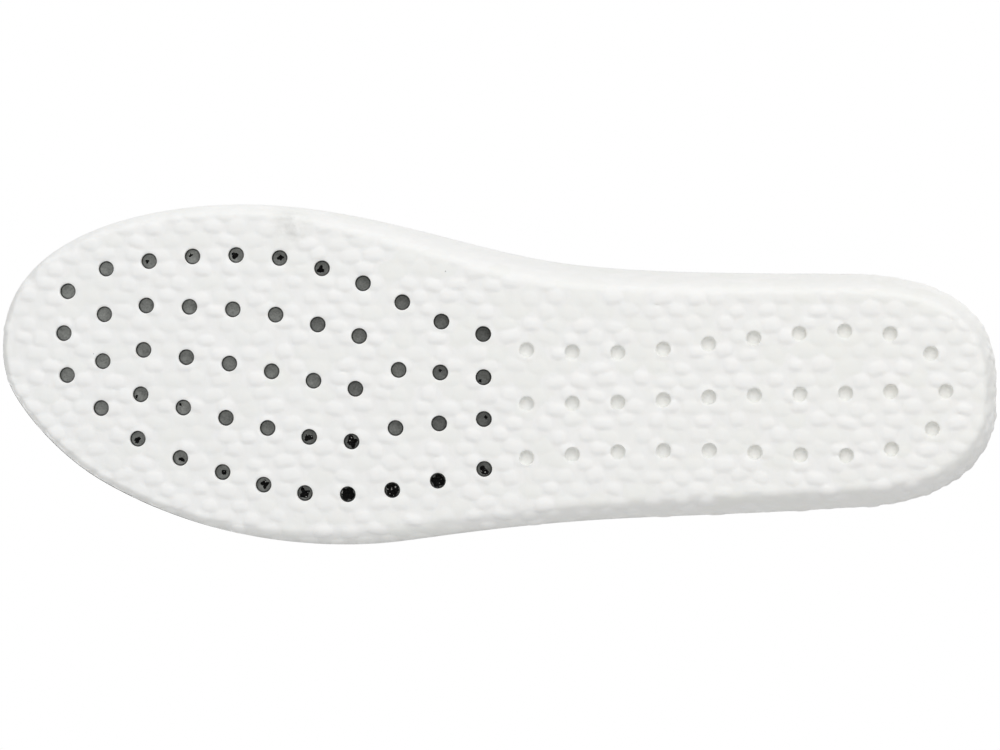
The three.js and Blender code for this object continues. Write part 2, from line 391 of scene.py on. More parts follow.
# %% Bead relief
BEAD_PITCH = np.array([7.6, 3.8]) * mm
BEAD_SHAKE = 0.2
BEAD_TURN = math.radians(30)
PROUD_SHARE = 0.68
PROUD_HEIGHT = (0.36 * mm, 0.60 * mm)
LOW_HEIGHT = (0.14 * mm, 0.32 * mm)
BEAD_LENGTH = (2.1 * mm, 3.1 * mm)
BEAD_WIDTH = (1.5 * mm, 2.15 * mm)
LONG_SIDE, SHORT_SIDE = 1.25, 0.8
BEAD_SQUARENESS = 3.0
DOME_POWER = 2.8
GROOVE_DEPTH = 0.04 * mm
GROOVE_WIDTH = 0.12
bead_draw = np.random.default_rng(20)
BEAD_ROWS, BEAD_COLUMNS = 64, 96
bead_random = bead_draw.random((BEAD_ROWS, BEAD_COLUMNS, 7))
FAR_OFF = 9.0              # farther than any bead reaches, in bead sizes
BASE_TINT_AND_SHADE, PROUD_PAINTED_LIGHT, HEIGHT_PAINTED_LIGHT = 0.25, 0.5, 0.5
print("beads drawn:", BEAD_ROWS * BEAD_COLUMNS)


def between(span, share):
    return span[0] + (span[1] - span[0]) * share


def bead_relief(places):
    """Height of the bead skin at unrolled places, and each place's bead tinting and painted shade, 0 to 1:
    low beads are painted darker, taller ones lighter.
    """
    row = np.floor(places[:, 1] / BEAD_PITCH[1]).astype(int)
    column = np.floor(places[:, 0] / BEAD_PITCH[0]).astype(int)
    height = np.zeros(len(places))
    tint_and_shade = np.zeros(len(places))
    first = np.full(len(places), FAR_OFF)
    second = np.full(len(places), FAR_OFF)
    for up in range(-2, 3):
        for over in range(-2, 3):
            r, c = row + up, column + over
            draw = bead_random[r % BEAD_ROWS, c % BEAD_COLUMNS]
            shaken = (draw[:, :2] - 0.5) * 2 * BEAD_SHAKE
            x = (c + 0.5 + 0.5 * (r % 2) + shaken[:, 0]) * BEAD_PITCH[0]
            y = (r + 0.5 + shaken[:, 1]) * BEAD_PITCH[1]
            turn = (draw[:, 2] - 0.5) * BEAD_TURN
            dx, dy = places[:, 0] - x, places[:, 1] - y
            along = (dx * np.cos(turn) + dy * np.sin(turn)) / between(BEAD_LENGTH, draw[:, 3])
            across = (dy * np.cos(turn) - dx * np.sin(turn)) / between(BEAD_WIDTH, draw[:, 4])
            across = across / np.where(across > 0, LONG_SIDE, SHORT_SIDE)
            reach = abs(along) ** BEAD_SQUARENESS + abs(across) ** BEAD_SQUARENESS
            reach = reach ** (1 / BEAD_SQUARENESS)
            proud = draw[:, 6] < PROUD_SHARE
            tall, low = between(PROUD_HEIGHT, draw[:, 5]), between(LOW_HEIGHT, draw[:, 5])
            tall = np.where(proud, tall, low)
            dome = tall * (1 - np.clip(reach, 0, 1) ** DOME_POWER)
            height = np.maximum(height, dome)
            nearer = reach < first
            second = np.where(nearer, first, np.minimum(second, reach))
            # painted light and shade: proud and taller beads get a lighter value, low beads a darker one
            own_tint_and_shade = BASE_TINT_AND_SHADE + PROUD_PAINTED_LIGHT * proud + HEIGHT_PAINTED_LIGHT * (draw[:, 5] - 0.5)
            tint_and_shade = np.where(nearer, own_tint_and_shade, tint_and_shade)
            first = np.where(nearer, reach, first)
    groove = GROOVE_DEPTH * np.exp(-((second - first) / GROOVE_WIDTH) ** 2)
    return height - groove, tint_and_shade


# %% [markdown]
# ## The foam's underside and wall
# The wall comes down from the trimmed edge as a parabola and runs out into the sole. It is laid
# in rings, close together where it is steep, and the sole inside the last ring is a plan net.

# %% Wall rings and sole
WALL_RINGS = 22
SOLE_STEP = 0.62 * mm
MOUTH_ROUND = 0.14 * mm
HOLE_SIDES = 30
EVEN_SHARE = 0.45          # rings part evenly spaced, part crowded where the wall is steep

rim_height = under_cover(edge, foam_under_cover)
wall_top = rim_height - foam_cut_edge
ring_share = np.linspace(0, 1, WALL_RINGS)
inward = EVEN_SHARE * ring_share + (1 - EVEN_SHARE) * (1 - np.sqrt(1 - ring_share))
ring_inset = foam_setback[None] + wall_run[None] * inward[:, None]
ring_height = wall_top[None] * (1 - inward[:, None]) ** 2
ring_plan = edge[None, :, :2] - edge_out[None] * ring_inset[:, :, None]
ring_points = np.dstack([ring_plan, ring_height])
ring_climb = np.linalg.norm(np.diff(ring_points, axis=0), axis=2)[::-1].cumsum(0)[::-1]
ring_climb = np.vstack([ring_climb, np.zeros(len(edge))])
unrolled = ring_plan[-1][None] + edge_out[None] * ring_climb[:, :, None]
slope_back = np.gradient(ring_height, axis=0) / np.gradient(ring_inset, axis=0)
lean = 1 / np.sqrt(1 + slope_back ** 2)
skin_out = np.dstack([-edge_out[None] * (slope_back * lean)[:, :, None], -lean])

mouths = [circle(x, y, radius + MOUTH_ROUND, HOLE_SIDES) for x, y, radius, _ in holes]
sole_points, sole_net = plan_net(ring_plan[-1], mouths, SOLE_STEP)
print("wall points:", ring_points.size // 3, "sole points:", len(sole_points))

# %% Beads on the wall and the sole
EDGE_FADE = 0.9 * mm
RIM_SHADE_REACH = 1.3 * mm
INNER_POLISH = 0.7         # the mould is smoother along the inner side's wall
POLISH_START = 2.5 * mm
OUTER_BIAS = 0.5           # where, between the inner and the outer side, the painted shade begins
INNER_GAIN, INNER_START = 1.5, 0.2
outer_side = np.clip(OUTER_BIAS - edge_out[:, 1], 0, 1)
inner_side = np.clip(edge_out[:, 1] * INNER_GAIN - INNER_START, 0, 1)
edge_count = len(edge)
below_edge = ring_climb[0][None] - ring_climb[:-1]
calm = np.clip(below_edge, 0, EDGE_FADE) / EDGE_FADE
calm = calm * (1 - INNER_POLISH * inner_side[None] * np.clip(ring_climb[:-1] / POLISH_START, 0, 1))
wall_relief, wall_tint_and_shade = bead_relief(unrolled[:-1].reshape(-1, 2))
wall = ring_points[:-1].reshape(-1, 3)
wall = wall + skin_out[:-1].reshape(-1, 3) * (wall_relief * calm.ravel())[:, None]
# painted shade: the outer side's wall, which faces away from the lamp, darker just below the cut edge
wall_shade = np.exp(-below_edge / RIM_SHADE_REACH) * outer_side[None]
sole_relief, sole_tint_and_shade = bead_relief(sole_points)
sole = np.column_stack([sole_points, -sole_relief])
print("highest bead:", round(max(wall_relief.max(), sole_relief.max()) / mm, 2), "mm")

# %% Gather the skin, ring by ring
skin = {"points": [wall, sole], "tints_and_shade": [wall_tint_and_shade, sole_tint_and_shade],
        "outer_shade": [wall_shade.ravel(), np.zeros(len(sole))], "faces": []}
PLAIN_SKIN_TINT_AND_SHADE = 0.5


def add_to_skin(new):
    """Adds points that carry no bead, and tells their numbers."""
    start = sum(len(part) for part in skin["points"])
    skin["points"].append(new)
    skin["tints_and_shade"].append(np.full(len(new), PLAIN_SKIN_TINT_AND_SHADE))
    skin["outer_shade"].append(np.zeros(len(new)))
    return np.arange(start, start + len(new))


wall_index = np.arange(len(wall)).reshape(WALL_RINGS - 1, edge_count)
sole_start = len(wall)
rings = [*wall_index, sole_start + np.arange(edge_count)]
skin["faces"] += [band(lower, upper) for upper, lower in zip(rings, rings[1:])]
skin["faces"].append(sole_start + sole_net[:, ::-1])
print("rings of the wall:", len(rings))

# %% The foam's upper face and its trimmed edge
EDGE_ROWS = 3
UPPER_STEP = 3 * mm
shafts = [circle(x, y, radius, HOLE_SIDES) for x, y, radius, _ in perforations]
upper_ring = edge[:, :2] - edge_out * foam_setback[:, None]
upper_plan, upper_net = plan_net(upper_ring, shafts, UPPER_STEP)
upper_face = add_to_skin(np.column_stack([upper_plan, under_cover(upper_plan, foam_under_cover)]))
skin["faces"].append(upper_face[upper_net])
lower_row = wall_index[0]
for share in np.arange(1, EDGE_ROWS) / EDGE_ROWS:
    edge_row = add_to_skin(np.column_stack([upper_ring, between((wall_top, rim_height), share)]))
    skin["faces"].append(band(lower_row, edge_row))
    lower_row = edge_row
skin["faces"].append(band(lower_row, upper_face[:edge_count]))
print("upper face has", len(upper_plan), "points")

# %% Hole walls and pocket floors
POCKET_FILLET = 0.35 * mm


def pocket_floor(x, y, radius, top, lip):
    """The lower wall, the fillet and the floor of one blind pocket."""
    corner_height = np.full(HOLE_SIDES, top - POCKET_FILLET)
    corner = add_to_skin(np.column_stack([circle(x, y, radius, HOLE_SIDES), corner_height]))
    floor_plan = circle(x, y, radius - POCKET_FILLET, HOLE_SIDES)
    rim = add_to_skin(np.column_stack([floor_plan, np.full(HOLE_SIDES, top)]))
    middle = add_to_skin(np.array([[x, y, top]]))
    fan = np.column_stack([np.roll(rim, -1), rim, np.repeat(middle, HOLE_SIDES)])
    return [band(corner, lip), band(rim, corner), fan]


shaft_start = edge_count
for number, (x, y, radius, top) in enumerate(holes):
    mouth = edge_count + number * HOLE_SIDES + np.arange(HOLE_SIDES)
    lip_plan = circle(x, y, radius, HOLE_SIDES)
    lip = add_to_skin(np.column_stack([lip_plan, sole[mouth, 2] + MOUTH_ROUND]))
    skin["faces"].append(band(lip, sole_start + mouth))
    if through[number]:
        end = upper_face[shaft_start:shaft_start + HOLE_SIDES]
        shaft_start += HOLE_SIDES
        skin["faces"].append(band(end, lip))
    else:
        skin["faces"] += pocket_floor(x, y, radius, top, lip)
print("holes walled:", len(holes))

# %% The foam piece
foam = make_piece("bead_foam", np.vstack(skin["points"]), np.vstack(skin["faces"]))
point_values(foam, "bead_tint_and_shade", np.concatenate(skin["tints_and_shade"]))
point_values(foam, "outer_rim_shade", np.concatenate(skin["outer_shade"]))
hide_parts("foam_base")

# %% [markdown]
# ## The film, and where it has torn
# Hot-melt film glues the cover to the foam. Over a perforation nothing backs it, so the press
# stretches it: it creeps down the wall as a fillet, sags a little and often tears, and more so
# towards the arch and the outer side, where the foam bends most. A tear is a real hole in it.

# %% Where each perforation lies
FIRST_ROW_GAP = 16 * mm    # holes nearer to the edge than this are in the outermost row
SECOND_ROW_GAP = 30 * mm
BEND_MIDDLE = 33 * mm      # where the foot's ball bends the insole, along its length
BEND_REACH = 27 * mm
SECOND_ROW_SHARE = 0.72
toe_most, arch_most = perforations[:, 0].max(), perforations[:, 0].min()
edge_gap, edge_place = nearest(perforations, edge)
faces_outer = edge[edge_place, 1] < perforations[:, 1]
archward = (toe_most - perforations[:, 0]) / (toe_most - arch_most)
in_first_row = edge_gap < FIRST_ROW_GAP
in_second_row = ~in_first_row & (edge_gap < SECOND_ROW_GAP)
outer_share = np.where(faces_outer, 1.0 * in_first_row + SECOND_ROW_SHARE * in_second_row, 0)
inner_share = np.where(faces_outer, 0, 1.0 * in_first_row)
bend = np.exp(-((perforations[:, 0] - BEND_MIDDLE) / BEND_REACH) ** 2)
print("in the first row:", in_first_row.sum(), "in the second:", in_second_row.sum())

# %% How hard the film is pulled there, and how thick it stays
OUTER_PULL, BEND_PULL, INNER_PULL, ARCH_PULL, LUCK_PULL = 0.4, 0.7, 0.4, 0.2, 0.22
TOE_REACH = 15 * mm        # the first holes behind the toe are pulled less
TOE_EASE = 0.5
ARCH_THINS, BEND_THINS, LUCK_THINS, THINNEST = 0.5, 0.3, 0.22, 0.12
tear_draw = np.random.default_rng(7)
luck = tear_draw.random(len(perforations)) - 0.5
tear_pull = outer_share * (OUTER_PULL + BEND_PULL * bend) + INNER_PULL * inner_share
tear_pull = tear_pull + ARCH_PULL * archward ** 2 + LUCK_PULL * luck
past_toe = perforations[:, 0] < toe_most - TOE_REACH
tear_pull = np.where(past_toe, tear_pull, TOE_EASE * tear_pull)
film_tone = 1 - ARCH_THINS * archward - BEND_THINS * outer_share * bend
film_tone = film_tone + LUCK_THINS * (tear_draw.random(len(perforations)) - 0.5)
film_tone = np.clip(film_tone, THINNEST, 1)
print("hardest pull:", round(tear_pull.max(), 2), "thinnest film:", round(film_tone.min(), 2))

# %% Ragged outlines
TEAR_SIDES = 26
HOLDING_PULL = 0.24        # below this the film holds
LARGEST_TEAR = 1.88 * mm
SMALLEST_TEAR = 0.42 * mm
LEAST_REACH = 0.12 * mm
TEAR_GROWTH = 1.7 * mm
TEAR_WANDER = 0.9 * mm
LOBE_DEPTHS = (0.22, 0.12)
LOBE_COUNTS = (2, 5)
JAG = 0.1


def tear_outline(x, y, pull):
    """A ragged closed line, or None where the film held."""
    size = SMALLEST_TEAR + TEAR_GROWTH * max(0.0, pull - HOLDING_PULL)
    wander = tear_draw.normal(0, TEAR_WANDER, 2) * (1 - min(1, pull))
    phase = tear_draw.random(3) * 2 * math.pi
    lobes = tear_draw.integers(*LOBE_COUNTS, 3)
    jag = tear_draw.normal(0, JAG, TEAR_SIDES)
    if pull < HOLDING_PULL:
        return None
    turn = np.linspace(0, 2 * math.pi, TEAR_SIDES, endpoint=False)
    ragged = 1 + jag
    for depth, lobe, start in zip(LOBE_DEPTHS, lobes, phase):
        ragged = ragged + depth * np.sin(lobe * turn + start)
    reach = np.clip(size * ragged, LEAST_REACH, None)
    plan = np.column_stack([reach * np.cos(turn), reach * np.sin(turn)]) + wander
    out = np.linalg.norm(plan, axis=1)
    plan *= np.minimum(1, LARGEST_TEAR / out)[:, None]
    return plan + [x, y]


outlines = [tear_outline(x, y, pull) for (x, y, _, _), pull in zip(perforations, tear_pull)]
tears = [outline for outline in outlines if outline is not None]
print("torn at", len(tears), "of", len(perforations), "perforations")

# %% The lie of the film in a perforation
DIMPLE = 0.22 * mm
SAG = 0.1 * mm
FILLET = 0.34 * mm
FILLET_REACH = 0.2 * mm
WRINKLE_PACE, TWIST_PACE = 4200, 2600    # radians in each metre
WRINKLE_TWIST, WRINKLE_SHARE = 3, 0.25


def dimple(places):
    """How far the cover and the film press into a perforation."""
    far, number = nearest(places, perforations)
    return DIMPLE * np.clip(1 - (far / perforations[number, 2]) ** 2, 0, 1)


def film_drop(places):
    """Sag and fillet of the film's lower face, all of it inside the perforations."""
    far, number = nearest(places, perforations)
    radius = perforations[number, 2]
    from_wall = np.clip(radius - far, 0, None)
    fillet = FILLET * np.exp(-from_wall / FILLET_REACH) * (from_wall > 0)
    twist = WRINKLE_TWIST * np.sin(places[:, 1] * TWIST_PACE + number)
    wrinkle = 1 + WRINKLE_SHARE * np.sin(places[:, 0] * WRINKLE_PACE + twist)
    return SAG * np.clip(1 - (far / radius) ** 2, 0, 1) * wrinkle + fillet


print("film hangs", round(film_drop(perforations[:, :2]).max() / mm, 2), "mm below its plane at a middle")

# %% Two faces and an edge make a sheet
def closed_sheet(ring, cuts, step, extra, lower_depth, upper_depth, edge_rows=2):
    """Two faces of a sheet on one plan net, joined round the outline and round each cut."""
    plan, net = plan_net(ring, cuts, step, extra)
    lower = np.column_stack([plan, lower_depth(plan)])
    upper = np.column_stack([plan, upper_depth(plan)])
    count = len(plan)
    faces = [net[:, ::-1], net + count]
    points = [lower, upper]
    total = 2 * count
    start = 0
    for number, each in enumerate([ring, *cuts]):
        own = start + np.arange(len(each))
        start += len(each)
        below = own
        for share in np.arange(1, edge_rows) / edge_rows:
            row = between((lower[own], upper[own]), share)
            points.append(row)
            index = np.arange(total, total + len(own))
            total += len(own)
            faces.append(band(below, index) if number == 0 else band(index, below))
            below = index
        faces.append(band(below, own + count) if number == 0 else band(own + count, below))
    return np.vstack(points), np.vstack(faces), count


# %% Film mesh
FILM_STEP = 3.2 * mm
FILM_BEHIND_FOAM = 0.15 * mm
FILM_CIRCLES = (2.17, 2.08, 1.96, 1.8, 1.6, 1.35, 1.05, 0.7, 0.3)   # radii in mm, round each perforation
POINTS_PER_MM = 34 / 2.2
LEAST_POINTS = 6


def film_lower(plan):
    return under_cover(plan, film_under_cover + film_thickness) - dimple(plan) - film_drop(plan)


def film_upper(plan):
    return under_cover(plan, film_under_cover) - dimple(plan)


film_ring = (edge[:, :2] - edge_out * (foam_setback + FILM_BEHIND_FOAM)[:, None])[::2]
film_fill = [circle(x, y, reach * mm, max(LEAST_POINTS, round(POINTS_PER_MM * reach)))
             for x, y, _, _ in perforations for reach in FILM_CIRCLES]
film_points, film_triangles, _ = closed_sheet(
    film_ring, tears, FILM_STEP, np.vstack(film_fill), film_lower, film_upper)
film = make_piece("hot_melt_film_torn", film_points, film_triangles)
film_far, film_hole = nearest(film_points, perforations)
point_values(film, "film_tone", film_tone[film_hole])
point_values(film, "from_wall", np.clip(perforations[film_hole, 2] - film_far, 0, None) / mm)
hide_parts("adhesive_film")

# %% [markdown]
# ## The cover
# A knit is cut flat and pressed hot over the foam, so it takes the cup's shape and keeps it. Its
# threads follow the surface, so its map is measured along the surface and not in plan.

# %% Cover mesh
COVER_STEP = 1.1 * mm
EDGE_SOFT = 0.25 * mm
SOFT_REACH = 1.2 * mm
WAVE = 0.05 * mm
WAVE_FADE = 3 * mm
LONG_PACE, CROSS_PACE, BEND_PACE = 410, 530, 230    # radians in each metre
WAVE_BEND, CROSS_START = 2, 1.3
DIMPLE_SHOWN = 0.8         # the knit's loft hides part of each dimple


def cover_wave(plan):
    long_wave = np.sin(plan[:, 0] * LONG_PACE + WAVE_BEND * np.sin(plan[:, 1] * BEND_PACE))
    return WAVE * (long_wave + np.sin(plan[:, 1] * CROSS_PACE + CROSS_START)) / 2


def cover_lower(plan):
    return under_cover(plan, cover_thickness) - dimple(plan)


def cover_upper(plan):
    near = nearest(plan, edge)[0]
    softened = EDGE_SOFT * np.clip(1 - near / SOFT_REACH, 0, 1) ** 2
    waved = cover_wave(plan) * np.clip(near / WAVE_FADE, 0, 1)
    return foot_side(plan)[0] - DIMPLE_SHOWN * dimple(plan) - softened + waved


cover_points, cover_triangles, cover_count = closed_sheet(
    edge, [], COVER_STEP, None, cover_lower, cover_upper, edge_rows=3)
cover = make_piece("knitted_cover", cover_points, cover_triangles)
glued = np.arange(len(cover_points)) < cover_count
point_values(cover, "glue_side", glued)
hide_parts("top_cloth")

# %% Map the knit along the surface
MAP_STEP = 1 * mm
map_x = np.arange(cad_box[0].x - MAP_STEP, cad_box[1].x + 2 * MAP_STEP, MAP_STEP)
map_y = np.arange(cad_box[0].y - MAP_STEP, cad_box[1].y + 2 * MAP_STEP, MAP_STEP)
grid_x, grid_y = np.meshgrid(map_x, map_y, indexing="ij")
map_slope = foot_side(np.column_stack([grid_x.ravel(), grid_y.ravel()]))[1].reshape(*grid_x.shape, 2)
stretch = np.sqrt(1 + map_slope ** 2)
along_x = np.cumsum(stretch[:, :, 0], 0) * MAP_STEP
along_x -= along_x[np.abs(map_x).argmin()][None]
along_y = np.cumsum(stretch[:, :, 1], 1) * MAP_STEP
along_y -= along_y[:, np.abs(map_y).argmin()][:, None]
print("steepest slope of the cover:", round(abs(map_slope).max(), 2))


def on_map(values, plan):
    gx = (plan[:, 0] - map_x[0]) / MAP_STEP
    gy = (plan[:, 1] - map_y[0]) / MAP_STEP
    i = np.clip(gx.astype(int), 0, len(map_x) - 2)
    j = np.clip(gy.astype(int), 0, len(map_y) - 2)
    fx, fy = gx - i, gy - j
    low = values[i, j] * (1 - fy) + values[i, j + 1] * fy
    high = values[i + 1, j] * (1 - fy) + values[i + 1, j + 1] * fy
    return low * (1 - fx) + high * fx


surface_map = np.column_stack([on_map(along_x, cover_points), on_map(along_y, cover_points)])
uv_layer = cover.data.uv_layers.new(name="surface_metres")
corner_points = np.empty(len(cover.data.loops), int)
cover.data.loops.foreach_get("vertex_index", corner_points)
uv_layer.data.foreach_set("uv", surface_map[corner_points].ravel().astype(np.float32))

# %% Corners of the cover's triangles
corner, second_corner, third_corner = cover_points[cover_triangles].transpose(1, 0, 2)

# %% [markdown]
# ## Shared effects
# Three small node groups make the marks that more than one finish needs: an even grain, scattered
# specks, and the looped ridges of a knit.

# %% Node helpers
def node(tree, kind, values=(), **settings):
    made = tree.nodes.new(kind)
    for name, value in settings.items():
        setattr(made, name, value)
    for place, value in dict(values).items():
        made.inputs[place].default_value = value
    return made


def join(tree, *pairs):
    for source, target in pairs:
        tree.links.new(source, target)


def new_group(name, takes, gives):
    tree = bpy.data.node_groups.new(name, "ShaderNodeTree")
    for label, kind, default in takes:
        socket = tree.interface.new_socket(label, in_out="INPUT", socket_type=kind)
        if default is not None:
            socket.default_value = default
    for label in gives:
        tree.interface.new_socket(label, in_out="OUTPUT", socket_type="NodeSocketFloat")
    return tree, tree.nodes.new("NodeGroupInput").outputs, tree.nodes.new("NodeGroupOutput").inputs


def use_group(tree, group_tree, values=()):
    made = node(tree, "ShaderNodeGroup", node_tree=group_tree)
    for place, value in dict(values).items():
        made.inputs[place].default_value = value
    return made


def maths(tree, operation, first, second=None, third=None):
    made = node(tree, "ShaderNodeMath", operation=operation)
    for place, value in enumerate((first, second, third)):
        if value is None:
            continue
        if isinstance(value, (int, float)):
            made.inputs[place].default_value = value
        else:
            tree.links.new(value, made.inputs[place])
    return made.outputs[0]


# %% Grain
VECTOR, NUMBER = "NodeSocketVector", "NodeSocketFloat"
grain, given, wanted = new_group("grain", [("Vector", VECTOR, None), ("Scale", NUMBER, 900.0)], ["Value"])
noise = node(grain, "ShaderNodeTexNoise", {"Detail": 4.0, "Roughness": 0.6})
spread = node(grain, "ShaderNodeMapRange", {"From Min": 0.3, "From Max": 0.7})
join(grain, (given["Vector"], noise.inputs["Vector"]), (given["Scale"], noise.inputs["Scale"]),
     (noise.outputs["Fac"], spread.inputs["Value"]), (spread.outputs[0], wanted["Value"]))
print("grain:", len(grain.nodes), "nodes")

# %% Specks
LEAST_SPECK = 0.4
specks, given, wanted = new_group(
    "specks",
    [("Vector", VECTOR, None), ("Scale", NUMBER, 500.0), ("Size", NUMBER, 0.2), ("Share", NUMBER, 0.3)],
    ["Mask"])
cells = node(specks, "ShaderNodeTexVoronoi", {"Randomness": 1.0})
join(specks, (given["Vector"], cells.inputs["Vector"]), (given["Scale"], cells.inputs["Scale"]))
own_draw = node(specks, "ShaderNodeSeparateColor")
join(specks, (cells.outputs["Color"], own_draw.inputs["Color"]))
chosen = maths(specks, "LESS_THAN", own_draw.outputs["Red"], given["Share"])
own_size = maths(specks, "ADD", own_draw.outputs["Green"], LEAST_SPECK)
speck_reach = maths(specks, "MULTIPLY", given["Size"], own_size)
in_speck = maths(specks, "LESS_THAN", cells.outputs["Distance"], speck_reach)
join(specks, (maths(specks, "MULTIPLY", chosen, in_speck), wanted["Mask"]))
print("specks:", len(specks.nodes), "nodes")

# %% Loops of a knit
WALE = 1.35 * mm           # width of one ridge of loops
COURSE = 1.05 * mm         # height of one row of loops
LEG_SLANT = 0.62
LEG_POWER = 2.5
knit, given, wanted = new_group(
    "knit_loops", [("Vector", VECTOR, None), ("Wale", NUMBER, WALE), ("Course", NUMBER, COURSE)], ["Height"])
plane = node(knit, "ShaderNodeSeparateXYZ")
join(knit, (given["Vector"], plane.inputs[0]))
wale_part = maths(knit, "FRACT", maths(knit, "DIVIDE", plane.outputs["Y"], given["Wale"]))
off_middle = maths(knit, "ABSOLUTE", maths(knit, "SUBTRACT", wale_part, 0.5))
from_middle = maths(knit, "MULTIPLY", off_middle, 2.0)
courses = maths(knit, "DIVIDE", plane.outputs["X"], given["Course"])
slanted = maths(knit, "MULTIPLY_ADD", from_middle, LEG_SLANT, courses)
across_thread = maths(knit, "MULTIPLY_ADD", maths(knit, "FRACT", slanted), 2.0, -1.0)
across_square = maths(knit, "POWER", maths(knit, "ABSOLUTE", across_thread), 2.0)
round_thread = maths(knit, "SQRT", maths(knit, "SUBTRACT", 1.0, across_square))
off_leg = maths(knit, "ABSOLUTE", maths(knit, "MULTIPLY_ADD", from_middle, 2.0, -1.0))
leg = maths(knit, "SUBTRACT", 1.0, maths(knit, "POWER", off_leg, LEG_POWER))
join(knit, (maths(knit, "MULTIPLY", round_thread, leg), wanted["Height"]))
print("knit_loops:", len(knit.nodes), "nodes")

# %% [markdown]
# ## Building a finish
# Every finish is a stack of colours, each laid over the last where a mask says so, with a fine
# bump on top. Three helpers start a material, mix two colours and add a bump.

# %% Material helpers
COLOUR_SHARE, COLOUR_LOW, COLOUR_HIGH, COLOUR_OUT = 0, 6, 7, 2   # a colour mix node's sockets


def new_material(name):
    material = bpy.data.materials.new(name)
    material.use_nodes = True
    tree = material.node_tree
    shader = tree.nodes["Principled BSDF"]
    return material, tree, shader


def colour_mix(tree, share, low, high, blend="MIX"):
    made = node(tree, "ShaderNodeMix", data_type="RGBA", blend_type=blend)
    for place, value in ((COLOUR_SHARE, share), (COLOUR_LOW, low), (COLOUR_HIGH, high)):
        if isinstance(value, (int, float)):
            made.inputs[place].default_value = value
        elif isinstance(value, tuple):
            made.inputs[place].default_value = (*value, 1.0)
        else:
            tree.links.new(value, made.inputs[place])
    return made.outputs[COLOUR_OUT]


def bump(tree, height, distance, strength=1.0, under=None):
    made = node(tree, "ShaderNodeBump", {"Strength": strength, "Distance": distance})
    tree.links.new(height, made.inputs["Height"])
    if under is not None:
        tree.links.new(under, made.inputs["Normal"])
    return made.outputs["Normal"]


# %% [markdown]
# ## Bead foam
# Steam-welded beads are white all through, and light enters them a little way, which softens
# their shading. Each bead is faintly tinted, with painted shade that makes low beads darker and
# proud ones lighter; dark specks of painted shade stand for fine voids between them.

# %% Foam colours
TOE_WHITE = (0.965, 0.968, 0.956)
HEEL_WHITE = (0.972, 0.962, 0.932)
# low beads painted darker and proud beads lighter: painted shade and painted light
LOW_BEAD_SHADED = (0.945, 0.955, 0.94)
PROUD_BEAD_LIT = (1.0, 1.0, 0.998)
CLOUD_WHITE = (0.925, 0.925, 0.905)
PIT_SHADE_GREY = (0.42, 0.41, 0.40)
SHADE_AND_STAIN_GREY = (0.42, 0.42, 0.42)
CLOUD_SHARE, PIT_SHADE_SHARE, SMUDGE_SHARE = 0.6, 0.7, 0.42
STREAKY_SHADE, EVEN_SHADE = 0.55, 0.1
SMUDGE_PLACE = (58 * mm, 41 * mm, 0.0)
SMUDGE_REACH = 7 * mm
foam_material, tree, shader = new_material("fused_bead_foam")
place = node(tree, "ShaderNodeTexCoord").outputs["Object"]
bead = node(tree, "ShaderNodeAttribute", attribute_name="bead_tint_and_shade").outputs["Fac"]
fine = use_group(tree, grain, {"Scale": 2600.0})
cloudy = use_group(tree, grain, {"Scale": 38.0})
# scattered dark specks: painted shade standing for small voids between the beads
pit_shade = use_group(tree, specks, {"Scale": 330.0, "Size": 0.085, "Share": 0.02})
streaks = use_group(tree, grain, {"Scale": 420.0})
for part in (fine, cloudy, pit_shade, streaks):
    join(tree, (place, part.inputs["Vector"]))
along = node(tree, "ShaderNodeSeparateXYZ")
heelward = node(tree, "ShaderNodeMapRange", {"From Min": 0.12, "From Max": -0.12})
join(tree, (place, along.inputs[0]), (along.outputs["X"], heelward.inputs["Value"]))
base_white = colour_mix(tree, heelward.outputs[0], TOE_WHITE, HEEL_WHITE)
# painted shade and painted light: the bead value darkens low beads and lightens proud ones
bead_light_and_shade = colour_mix(tree, bead, LOW_BEAD_SHADED, PROUD_BEAD_LIT)
beads_colour = colour_mix(tree, 1.0, base_white, bead_light_and_shade, "MULTIPLY")
clouded = colour_mix(tree, maths(tree, "MULTIPLY", cloudy.outputs[0], CLOUD_SHARE), beads_colour, CLOUD_WHITE)
pit_shaded = colour_mix(tree, maths(tree, "MULTIPLY", pit_shade.outputs[0], PIT_SHADE_SHARE), clouded, PIT_SHADE_GREY)
print("foam colours:", len(tree.nodes), "nodes")

# %% Foam's painted rim shade, smudge and softness
rim = node(tree, "ShaderNodeAttribute", attribute_name="outer_rim_shade").outputs["Fac"]
# painted shade on the outer rim, laid in streaks; the same grey also darkens the smudge, a real stain
streaked_shade = maths(tree, "MULTIPLY_ADD", streaks.outputs[0], STREAKY_SHADE, EVEN_SHADE)
rim_shaded = colour_mix(tree, maths(tree, "MULTIPLY", rim, streaked_shade), pit_shaded, SHADE_AND_STAIN_GREY)
from_smudge = node(tree, "ShaderNodeVectorMath", {1: SMUDGE_PLACE}, operation="DISTANCE")
in_smudge = node(tree, "ShaderNodeMapRange", {"From Max": SMUDGE_REACH, "To Min": 1.0, "To Max": 0.0})
join(tree, (place, from_smudge.inputs[0]), (from_smudge.outputs["Value"], in_smudge.inputs["Value"]))
smudge_streaks = maths(tree, "MULTIPLY", streaks.outputs[0], SMUDGE_SHARE)
smudge = maths(tree, "MULTIPLY", in_smudge.outputs[0], smudge_streaks)
finished = colour_mix(tree, smudge, rim_shaded, SHADE_AND_STAIN_GREY)
join(tree, (finished, shader.inputs["Base Color"]),
     (bump(tree, fine.outputs[0], 0.03 * mm, 0.6), shader.inputs["Normal"]))
shader.inputs["Roughness"].default_value = 0.62
shader.inputs["Specular IOR Level"].default_value = 0.3
shader.inputs["Subsurface Weight"].default_value = 0.4
